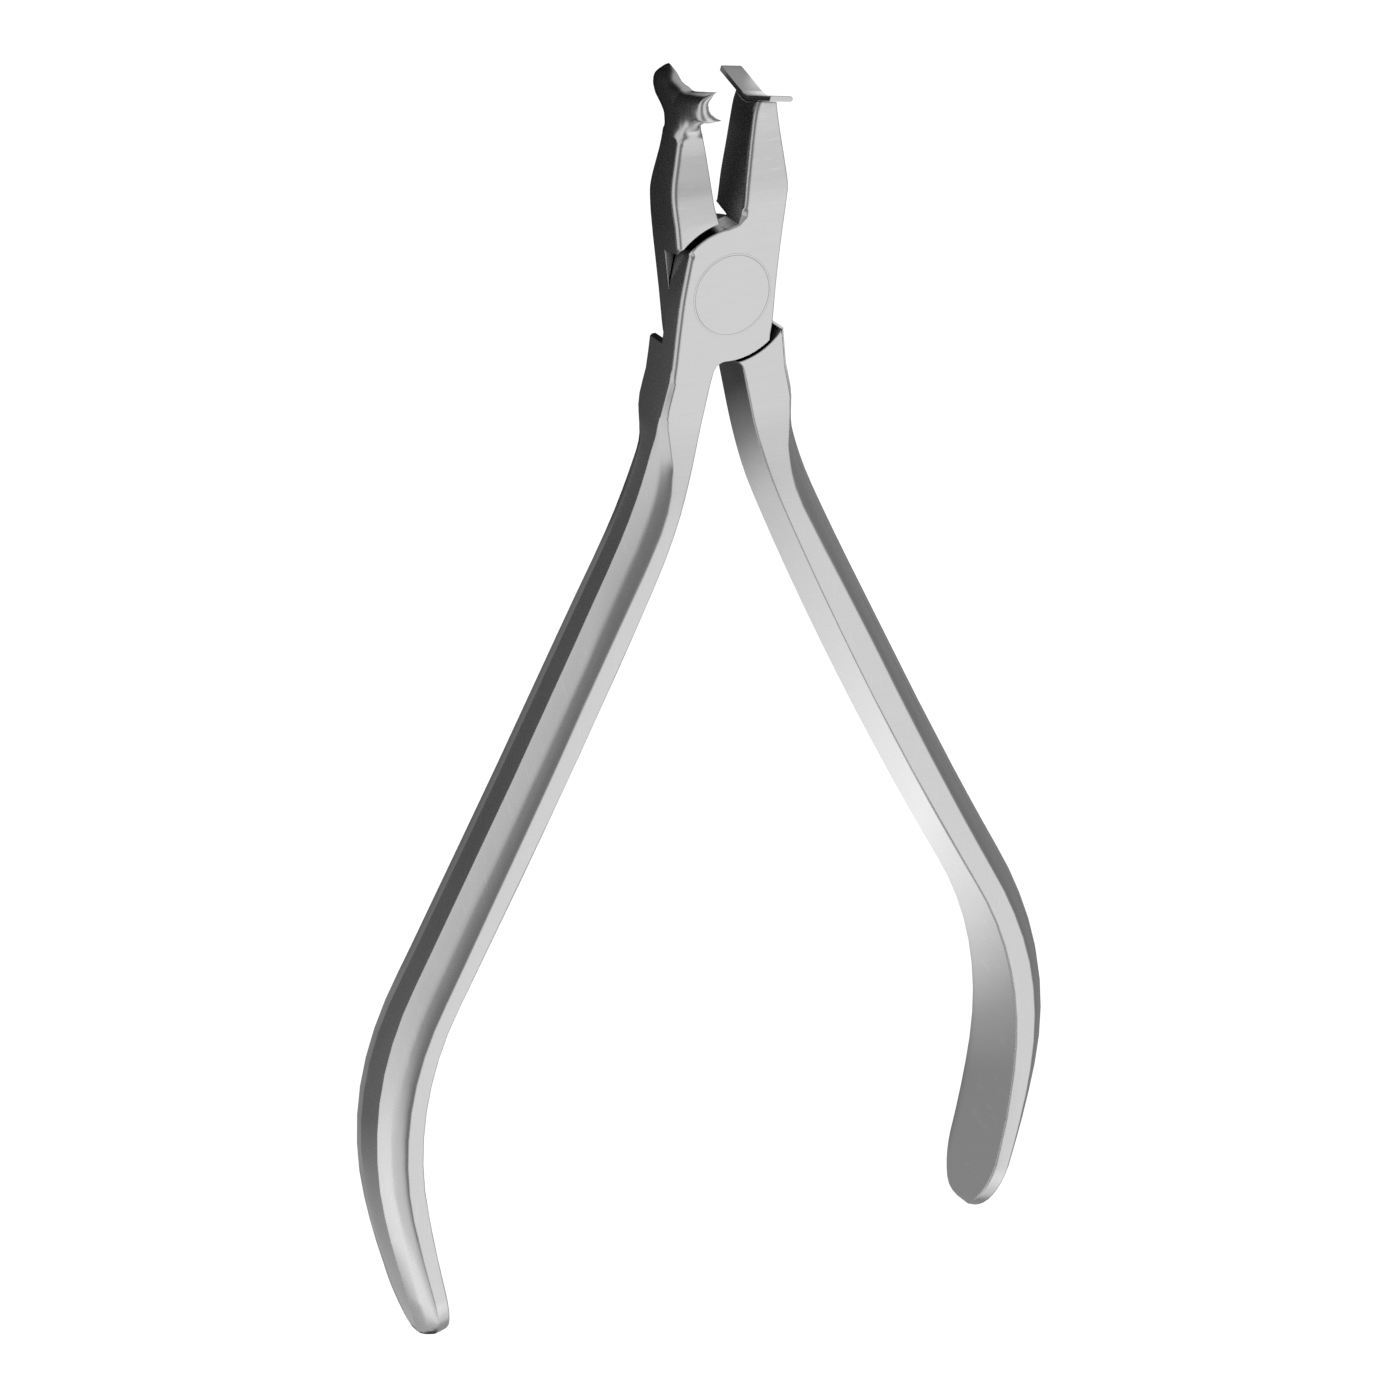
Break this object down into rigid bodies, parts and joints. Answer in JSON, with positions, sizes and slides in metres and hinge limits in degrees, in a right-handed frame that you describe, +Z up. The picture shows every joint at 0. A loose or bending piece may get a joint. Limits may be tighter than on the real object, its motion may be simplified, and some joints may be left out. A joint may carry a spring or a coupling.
{
  "type": "dental pliers",
  "caption": "Dental crown-crimping pliers: two lap-jointed steel arms on a flush rivet, a thin bent blade on one jaw and a matching grooved cup on the other, with long bowed handles.",
  "frame": {"origin": "on the pivot axis, at the middle of the pin's lower face", "axes": "+Y along the pliers from the handles to the jaws, +X to the right across the handles, +Z up along the pivot axis to the face with the front arm's half of the lap"},
  "size_m": [0.0814, 0.1385, 0.011],
  "materials": {
    "front_arm_steel": "satin brushed along the arm",
    "rear_arm_steel": "satin brushed along the arm",
    "pin_steel": "ground flush with the joint",
    "blade_steel": "fine ground"
  },
  "bodies": {
    "front_arm_body": {"front_arm": "front_arm_steel", "pivot_pin": "pin_steel", "crimping_blade": "blade_steel"},
    "rear_arm_body": {"rear_arm": "rear_arm_steel"}
  },
  "joints": [
    {"name": "pivot", "type": "hinge", "parent": "front_arm_body", "child": "rear_arm_body", "pos_m": [0, 0, 0.0032], "axis": [0, 0, 1], "range_deg": [-16, 70]}
  ]
}
